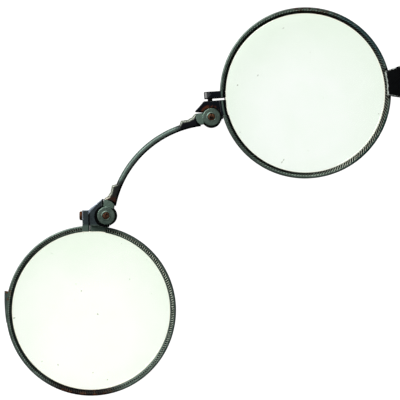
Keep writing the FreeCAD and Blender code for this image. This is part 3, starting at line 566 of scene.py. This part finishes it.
def make_rim(side, strong, sharp, first, last, pitch, slant):
    """The rim's section carried round its arc. A wave of the angle, of a pitch in millimetres,
    that runs on by a slant as the radius grows, cuts notches between two radii. The inner
    slope inside them and the teeth between them stand nearly flush; all fade away from one
    direction by a power of the cosine, down to a share of their size."""
    radius, height = rim_profile().T
    teeth = round(TURN * RIM_INNER / pitch)
    count = teeth * STEPS_PER_TOOTH
    share = np.linspace(0, 1, count)[:, None]
    start = np.arcsin(side.block_end / radius)[None, :]
    end = TURN - np.arcsin(side.foot_end / radius)[None, :]
    angle = start + (end - start) * share
    lag = (radius - RIM_INNER)[None, :] * slant * TURN / pitch
    wave = np.clip(0.5 + 0.85 * np.sin(angle * teeth - lag), 0, 1)
    world = side.split + side.sign * angle
    lean = (0.5 + 0.5 * np.cos(world - strong)) ** sharp
    upper = height > 0
    inner = (upper & (radius > RIM_INNER) & (radius < last))[None, :]
    milled = (inner & (radius > first)[None, :]).astype(float)
    stand = np.where(radius < first, 1, 0)[None, :] + milled * (1 - wave) ** 0.7
    tooth = inner * stand * (FADED_TOOTH + (1 - FADED_TOOTH) * lean)
    notch = milled * wave ** 1.1 * (FADED_NOTCH + (1 - FADED_NOTCH) * lean)
    rough = 0.3 * np.sin(world * 37 + 1.3) * np.sin(world * 11) + 0.4 * np.sin(world * 5 + 0.7)
    rise = np.broadcast_to(height, angle.shape) + 0.01 * rough * (np.abs(height) > 0.7)[None, :]
    raised = rise + np.maximum(SLOPE_TOP - rise, 0) * tooth - NOTCH_DEPTH * notch
    rise = np.where(inner, raised, rise)
    reach = np.broadcast_to(radius, angle.shape)
    points = np.stack((reach * np.cos(angle), side.sign * reach * np.sin(angle), rise),
                      axis=-1) * MM
    points = turned(points, side.split, side.centre)
    faces = grid_faces(count, len(radius), close_columns=True)
    piece = new_piece(side.name + "_milled_rim", points, faces, RIM_STEEL, side.body,
                      side.name + "_rim")
    # Grime with painted shade on the inner slope and in the notches; wear with a painted highlight
    # on the teeth.
    flat_crest = np.clip((reach - SLOPE_END) / 0.1, 0, 1)
    groove = np.clip(inner * (1 - flat_crest) * (1 - tooth) * 0.8 + notch, 0, 1)
    mark(piece, grimy=groove, rubbed=tooth * milled)
    return closed(piece)


make_rim(LEFT, strong=math.radians(5), sharp=2, first=17.84, last=18.26, pitch=0.49, slant=0.33)
make_rim(RIGHT, strong=math.radians(-80), sharp=8, first=17.5, last=18.3, pitch=0.6, slant=0.9)


# ---- lenses ----

LENS_CURVE = 418.0
LENS_HUB = 0.02
LENS_RINGS = 30
LENS_SPOKES = 192


def make_lens(side, material):
    """A biconvex disc: two spherical caps of the same radius with a bevelled edge between, from
    a small flat hub outwards and back."""
    edge = RIM_INNER
    outward = np.linspace(LENS_HUB, edge, LENS_RINGS)
    radius = np.concatenate([outward, [edge + GROOVE * 0.9], outward[::-1]])
    cap = GROOVE + np.sqrt(LENS_CURVE ** 2 - radius ** 2) - math.sqrt(LENS_CURVE ** 2 - edge ** 2)
    sign = np.concatenate([np.ones(LENS_RINGS), [0], -np.ones(LENS_RINGS)])
    points = lathed(radius, cap * sign, LENS_SPOKES) * MM
    faces = grid_faces(LENS_SPOKES, len(radius), close_rows=True)
    piece = new_piece(side.name + "_ground_lens", points + side.centre, faces, material,
                      side.body, side.name + "_lens")
    return closed(piece)


make_lens(LEFT, tinted_glass("left_glass", (255, 255, 251), (240, 251, 236), LEFT.centre,
                             RIM_INNER))
make_lens(RIGHT, tinted_glass("right_glass", (245, 251, 245), (234, 246, 232), RIGHT.centre,
                              RIM_INNER))


# ---- hinges and closing blocks ----

CAP_SPOKES = 96


def make_cap(side):
    """A turned disc: bevelled rim, flat face, raised ring round the recess for the screw."""
    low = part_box(side.name + "_hinge_cap")[0][2] / MM
    profile = spread([(0.3, 0), (1.9, 0), (1.96, 0.05), (1.96, 0.32), (1.9, 0.4), (1.82, 0.43),
                      (1.02, 0.46), (0.98, 0.49), (0.92, 0.5), (0.84, 0.5), (0.8, 0.46),
                      (0.8, 0.15), (0.3, 0.15), (0.3, 0)], (4, 2, 3, 2, 2, 6, 1, 1, 2, 1, 2, 3, 1))
    reach, rise = profile.T
    points = lathed(reach, rise + low, CAP_SPOKES) * MM
    points = points + np.array([side.hinge[0], side.hinge[1], 0])
    faces = grid_faces(CAP_SPOKES, len(reach), close_rows=True, close_columns=True)
    piece = new_piece(side.name + "_turned_cap", points, faces, DISC_STEEL, side.body,
                      side.name + "_hinge_cap")
    return closed(piece)


def curve_through(stretches):
    """Joins stretches of points, each a straight run or part of a circle: (start, end, count)
    or (centre, radius, first angle, last angle, count), with angles in radians."""
    parts = []
    for stretch in stretches:
        if len(stretch) == 3:
            parts.append(np.linspace(*stretch))
        else:
            centre, radius, first, last, count = stretch
            angle = np.linspace(first, last, count)
            parts.append(np.stack((np.cos(angle), np.sin(angle)), axis=-1) * radius + centre)
    return np.concatenate(parts)


ARM_RADIUS = 22.215
ARM_WIDTH = 1.25
ARM_EDGE = 0.16
ARM_DROP = 0.06
HOLLOW_WAY = np.array((-0.22, -0.97))
HOLLOW_DEPTH = 0.5
HOLLOW_RIPPLE = 0.05
HORN_START = 9.2
HORN_EASE = 1.2


def make_arm():
    """The arched bridge. Its inner edge is an arc that ends in the throat under a collar; its
    outer edge is a wider arc, a cusp, and the hollow back of the horn. A rounded rectangle
    spans the two edges at every station, and the other half is the mirror image."""
    low, high = (np.array(corner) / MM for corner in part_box("bridge_arm"))
    between = (LEFT_HINGE + RIGHT_HINGE) / 2
    outer_radius = ARM_RADIUS + ARM_WIDTH
    centre = np.array((0, high[1] - between[1] / MM - outer_radius))
    shelf, cusp, horn = np.array((9.5, 3.57)), np.array((10.42, 4.05)), np.array((13.8, 3.07))
    throat, collar = np.array((12.9, 0.3)), np.array((12.36, 0.97))
    quarter = math.pi / 2
    shelf_turn = math.asin(shelf[0] / outer_radius)
    throat_turn = math.asin(throat[0] / ARM_RADIUS)
    inner = curve_through(((centre, ARM_RADIUS, quarter, quarter - shelf_turn, 48),
                           (centre, ARM_RADIUS, quarter - shelf_turn, quarter - throat_turn, 30),
                           (throat, collar, 10)))
    hollow = np.linspace(0, 1, 33)[1:, None]
    depth = HOLLOW_DEPTH + HOLLOW_RIPPLE * np.sin(hollow * 21)
    back = cusp + (horn - cusp) * hollow + HOLLOW_WAY * depth * np.sin(math.pi * hollow)
    arc = curve_through(((centre, outer_radius, quarter, quarter - shelf_turn, 48),
                         (shelf, cusp, 8)))
    outer = np.concatenate((arc, back))
    mirror = np.array((-1, 1))
    inner = np.concatenate((inner[:0:-1] * mirror, inner))
    outer = np.concatenate((outer[:0:-1] * mirror, outer))
    across = outer - inner
    across = across / np.linalg.norm(across, axis=1)[:, None]
    # Round the section: the lower and upper corners of the inner edge and two points of the
    # top, all set in from that edge, then the same for the outer edge in the reverse order.
    turn = np.linspace(0, quarter, 4)
    inset = ARM_EDGE * (1 - np.sin(turn))
    lift = ARM_EDGE * (1 - np.cos(turn))
    base, top, shoulder = low[2], high[2], high[2] - ARM_DROP
    offset = np.concatenate((inset[::-1], inset, (0.24, 0.36), (0.74, 0.3), inset[::-1], inset))
    height = np.concatenate((base + lift[::-1], shoulder - lift, (top - 0.01, top),
                             (top, top - 0.01), shoulder - lift[::-1], base + lift))
    step = np.arange(len(offset))
    far = step >= len(offset) // 2
    place = np.where(far[None, :, None], outer[:, None] - across[:, None] * offset[None, :, None],
                     inner[:, None] + across[:, None] * offset[None, :, None])
    points = np.concatenate((place, np.broadcast_to(height[None, :, None], place.shape[:2] + (1,))),
                            axis=-1) * MM
    points = points + np.array((between[0], between[1], 0))
    faces = grid_faces(len(inner), len(offset), close_columns=True)
    piece = new_piece("arched_bridge_arm", points, faces, ARM_STEEL, BRIDGE,
                      "bridge_arm")
    # The outer shoulders of the horns get wear and a painted highlight; the inner edge gets painted
    # shade up to the top.
    horns = np.clip((np.abs(outer[:, 0]) - HORN_START) / HORN_EASE, 0, 1)[:, None]
    rubbed = ((step >= 11) & (step <= 16))[None, :] * 0.5 * horns
    grimy = np.broadcast_to(np.clip(8.6 - step, 0, 1)[None, :], rubbed.shape)
    mark(piece, rubbed=rubbed, grimy=grimy)
    return closed(piece)


make_arm()
for side in SIDES:
    block = LEFT_BLOCK if side is LEFT else RIGHT_BLOCK
    bracket = LEFT_BRACKET if side is LEFT else RIGHT_BRACKET
    edge = LEFT_EDGE if side is LEFT else RIGHT_EDGE
    screw = RUST_STEEL if side is LEFT else DARK_SCREW
    make_cap(side)
    softened(side.name + "_closing_block", 0.14, (block, edge), side.body)
    softened(side.name + "_hinge_bracket", 0.16, (bracket, edge), side.body)
    softened(side.name + "_closing_screw", 0.06, (screw,), side.body)
    softened(side.name + "_hinge_screw", 0.04, (RUST_STEEL,), side.body)
    softened(side.name + "_spring_drum", 0.09, (COLLAR_STEEL,), BRIDGE)
softened("catch_tooth", 0.06, (TOOTH_STEEL,), LEFT_GROUP)


# ---- the handle ----

ACROSS_WAY = np.array((-HANDLE_WAY[1], HANDLE_WAY[0], 0))
ALONG_CENTRE = float(RIGHT.centre @ HANDLE_WAY)
ACROSS_CENTRE = float(RIGHT.centre @ ACROSS_WAY)
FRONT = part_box("handle_front_shell")[1][2] / MM
BUTTON_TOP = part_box("release_button")[1][2] / MM
BUTTON_MIDDLE = middle("release_button")

# In millimetres: the bevels, how far the shells curve away from their flats, over which length
# from the rim the front does so, and the ridges and the two curves of the thumb piece.
GRIP_EDGE = 0.24
BUTTON_EDGE = 0.12
FRONT_FALL = 0.85
BACK_RISE = 1.0
FRONT_EASE = 6.0
RIDGE_PITCH = 0.62
RIDGE_DEPTH = 0.18
RIDGED_HALF = 2.1
DOME_FALL = (0.1, 0.16)
DOME_HALF = (2.4, 1.9)
CLOSE = 0.01


def handle_cuts(start, end, step, half, count):
    """Cutting planes along and across the handle, from places in millimetres."""
    along = ALONG_CENTRE + np.arange(start, end, step) * MM
    across = ACROSS_CENTRE + np.linspace(-half, half, count) * MM
    return ((Vector(HANDLE_WAY), along), (Vector(ACROSS_WAY), across))


def handle_half(along):
    """Half the width of the handle: straight shoulders, then the waist, the belly and the tip."""
    return np.interp(along, (18, 25, 38, 49, 60, 76, 92), (2.65, 4.5, 3.4, 3.8, 4.1, 3.9, 3.1))


def crown(points):
    """Lowers the front and raises the back by the square of the place across the handle."""
    along = (points @ HANDLE_WAY - ALONG_CENTRE) / MM
    across = (points @ ACROSS_WAY - ACROSS_CENTRE) / MM
    share = np.clip(np.abs(across) / handle_half(along), 0, 1) ** 2
    ease = np.clip((along - RIM_OUTER) / FRONT_EASE, 0, 1)
    height = points[:, 2] / MM
    shift = np.where(height > FRONT - GRIP_EDGE - CLOSE, -FRONT_FALL * share * ease, 0)
    shift = np.where(height < GRIP_EDGE + CLOSE, BACK_RISE * share, shift)
    moved = points.copy()
    moved[:, 2] += shift * MM
    return moved


def ridged(points):
    """Rounds the top of the thumb piece and cuts ridges across it: a cosine along the handle."""
    along = (points - BUTTON_MIDDLE) @ HANDLE_WAY / MM
    across = (points - BUTTON_MIDDLE) @ ACROSS_WAY / MM
    top = points[:, 2] / MM > BUTTON_TOP - BUTTON_EDGE - CLOSE
    ridge = RIDGE_DEPTH / 2 * (1 - np.cos(TURN * along / RIDGE_PITCH))
    ridge = ridge * (np.abs(along) < RIDGED_HALF)
    dome = sum(fall * (place / half) ** 2
               for fall, place, half in zip(DOME_FALL, (along, across), DOME_HALF))
    moved = points.copy()
    moved[:, 2] -= np.where(top, ridge + dome, 0) * MM
    return moved


RING_WIRE = 0.5
RING_SPOKES = 96
WIRE_SPOKES = 20


def make_ring():
    """A torus of round wire about the ring's middle, in the plane of its pivot's axis and the
    line from that pivot: R plus r cos v round, r sin v across."""
    centre = middle("bail_ring")
    wire = RING_WIRE * MM
    out = centre - RING_PIVOT
    out = out / np.linalg.norm(out)
    side_way = np.array(JOINTS["neck_ring_swing"]["axis"])
    normal = np.cross(out, side_way)
    reach = np.linalg.norm(centre - RING_PIVOT)
    around, tube = np.meshgrid(np.linspace(0, TURN, RING_SPOKES, endpoint=False),
                               np.linspace(0, TURN, WIRE_SPOKES, endpoint=False), indexing="ij")
    width = reach + wire * np.cos(tube)
    points = (centre + width[..., None] * (np.cos(around)[..., None] * out
                                           + np.sin(around)[..., None] * side_way)
              + (wire * np.sin(tube))[..., None] * normal)
    faces = grid_faces(RING_SPOKES, WIRE_SPOKES, close_rows=True, close_columns=True)
    piece = new_piece("round_bail_ring", points, faces, BARE_STEEL, "neck_ring",
                      "bail_ring")
    return closed(piece)


GRIP_CUTS = handle_cuts(19, 95, 1.5, 3.9, 9)
BUTTON_CUTS = handle_cuts(27.2, 31.9, RIDGE_PITCH / 6, 1.5, 7)
for shell in ("handle_front_shell", "handle_back_shell"):
    softened(shell, GRIP_EDGE, (LACQUER, LACQUER_EDGE), RIG, 3, GRIP_CUTS, crown)
softened("release_button", BUTTON_EDGE, (BARE_STEEL,), RELEASE, 2, BUTTON_CUTS, ridged)
softened("bail_eye", 0.15, (BARE_STEEL,), RIG, 3)
softened("handle_screws", 0.05, (RUST_STEEL,), RIG)
make_ring()


def paint(node, material):
    """Gives a CAD node that stays visible a material."""
    frame["nodes"][node].data.materials.clear()
    frame["nodes"][node].data.materials.append(material)


for node in ("handle_tang", "release_slide", "button_rivet", "spring_seat"):
    paint(node, BARE_STEEL)
for node in ("left_hinge_spring", "right_hinge_spring", "release_spring"):
    paint(node, SPRING_STEEL)


# ---- stage, light and camera ----

FLOOR_HALF = 3.0
FLOOR_HEIGHT = -0.0001


def make_floor():
    """A flat pale table that glows, so that it stays evenly white, and that polished steel
    doesn't mirror."""
    mesh = bpy.data.meshes.new("table")
    corners = [(x * FLOOR_HALF, y * FLOOR_HALF, FLOOR_HEIGHT)
               for x, y in ((-1, -1), (1, -1), (1, 1), (-1, 1))]
    mesh.from_pydata(corners, [], [(0, 1, 2, 3)])
    table = bpy.data.objects.new("table", mesh)
    bpy.context.scene.collection.objects.link(table)
    surface = Surface("table_white")
    surface.set(Base_Color=(0.12, 0.12, 0.12, 1), Roughness=0.9, Specular_IOR_Level=0.1,
                Emission_Color=(1, 1, 1, 1), Emission_Strength=1.06)
    mesh.materials.append(surface.material)
    table.visible_glossy = False
    table.visible_diffuse = False


def smooth_step(tree, value, low, high, to_low, to_high):
    """A value of the sky's direction taken smoothly from one range to another."""
    ramp = tree.nodes.new("ShaderNodeMapRange")
    ramp.interpolation_type = "SMOOTHSTEP"
    ramp.inputs["From Min"].default_value = low
    ramp.inputs["From Max"].default_value = high
    ramp.inputs["To Min"].default_value = to_low
    ramp.inputs["To Max"].default_value = to_high
    tree.links.new(value, ramp.inputs["Value"])
    return ramp.outputs["Result"]


def make_light():
    """A sky that is bright overhead, dark at the horizon and glows low down towards +Y, and
    one broad lamp from there."""
    world = bpy.data.worlds.new("studio")
    world.use_nodes = True
    tree = world.node_tree
    where = tree.nodes.new("ShaderNodeTexCoord")
    split = tree.nodes.new("ShaderNodeSeparateXYZ")
    tree.links.new(where.outputs["Generated"], split.inputs[0])
    overhead = smooth_step(tree, split.outputs["Z"], 0.35, 0.88, 0.12, 2.3)
    glow = smooth_step(tree, split.outputs["Y"], 0.45, 0.9, 0.0, 3.0)
    total = tree.nodes.new("ShaderNodeMath")
    tree.links.new(overhead, total.inputs[0])
    tree.links.new(glow, total.inputs[1])
    tree.links.new(total.outputs[0], tree.nodes["Background"].inputs["Strength"])
    bpy.context.scene.world = world
    lamp = bpy.data.lights.new("side_lamp", "AREA")
    lamp.shape = "RECTANGLE"
    lamp.size = 0.5
    lamp.size_y = 0.25
    lamp.energy = 3.0
    holder = bpy.data.objects.new("side_lamp", lamp)
    holder.location = (-0.03, 0.5, 0.38)
    holder.rotation_euler = (math.radians(-52), 0, 0)
    bpy.context.scene.collection.objects.link(holder)


CAMERA_TURN = math.radians(-43.14)
CAMERA_SHIFT = (1.55, -11.52)
CAMERA_HEIGHT = 0.3097
FOCAL_LENGTH = 125.65


def make_camera():
    """Straight above the bridge, turned so that the line of the hinges rises to the right."""
    data = bpy.data.cameras.new("camera")
    data.lens = FOCAL_LENGTH
    data.clip_start = 0.005
    between = (LEFT_HINGE + RIGHT_HINGE) / 2
    camera = bpy.data.objects.new("camera", data)
    camera.location = (between[0] + CAMERA_SHIFT[0] * MM, between[1] + CAMERA_SHIFT[1] * MM,
                       CAMERA_HEIGHT)
    camera.rotation_euler = (0, 0, CAMERA_TURN)
    bpy.context.scene.collection.objects.link(camera)
    bpy.context.scene.camera = camera


make_floor()
make_light()
make_camera()
bpy.context.scene.view_settings.view_transform = "Standard"
